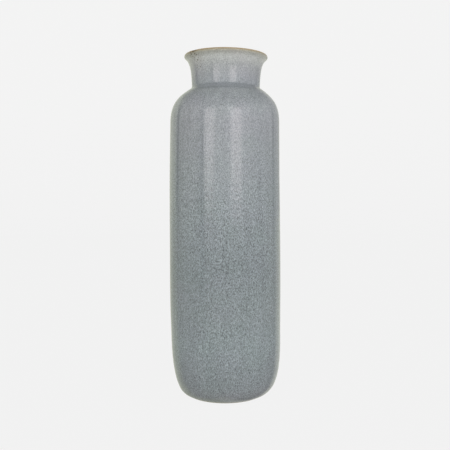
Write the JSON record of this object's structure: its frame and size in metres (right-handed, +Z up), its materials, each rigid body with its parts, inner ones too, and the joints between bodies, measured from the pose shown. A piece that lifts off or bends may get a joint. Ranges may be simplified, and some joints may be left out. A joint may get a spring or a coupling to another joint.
{
  "type": "bottle vase",
  "caption": "Tall cylindrical stoneware bottle vase with round shoulders, a short flared neck, a speckled blue-grey glaze and a bare foot ring.",
  "frame": {"origin": "middle of the foot ring, on the surface that the vase stands on", "axes": "+Z up along the vase's axis to the mouth; the vase is round, so X and Y are any two level directions"},
  "size_m": [0.0986, 0.0986, 0.3],
  "materials": {
    "fired_clay": "bare tan stoneware, matt and slightly gritty",
    "fired_slip": "fired slip, matt",
    "speckled_glaze": "satin blue-grey reactive glaze with fine light and dark speckle",
    "liner_glaze": "thin satin grey liner glaze"
  },
  "bodies": {
    "root": {"stoneware_body": "fired_clay", "stoneware_neck": "fired_clay", "luting_slip": "fired_slip", "outer_glaze": "speckled_glaze", "liner_glaze": "liner_glaze"}
  },
  "joints": []
}
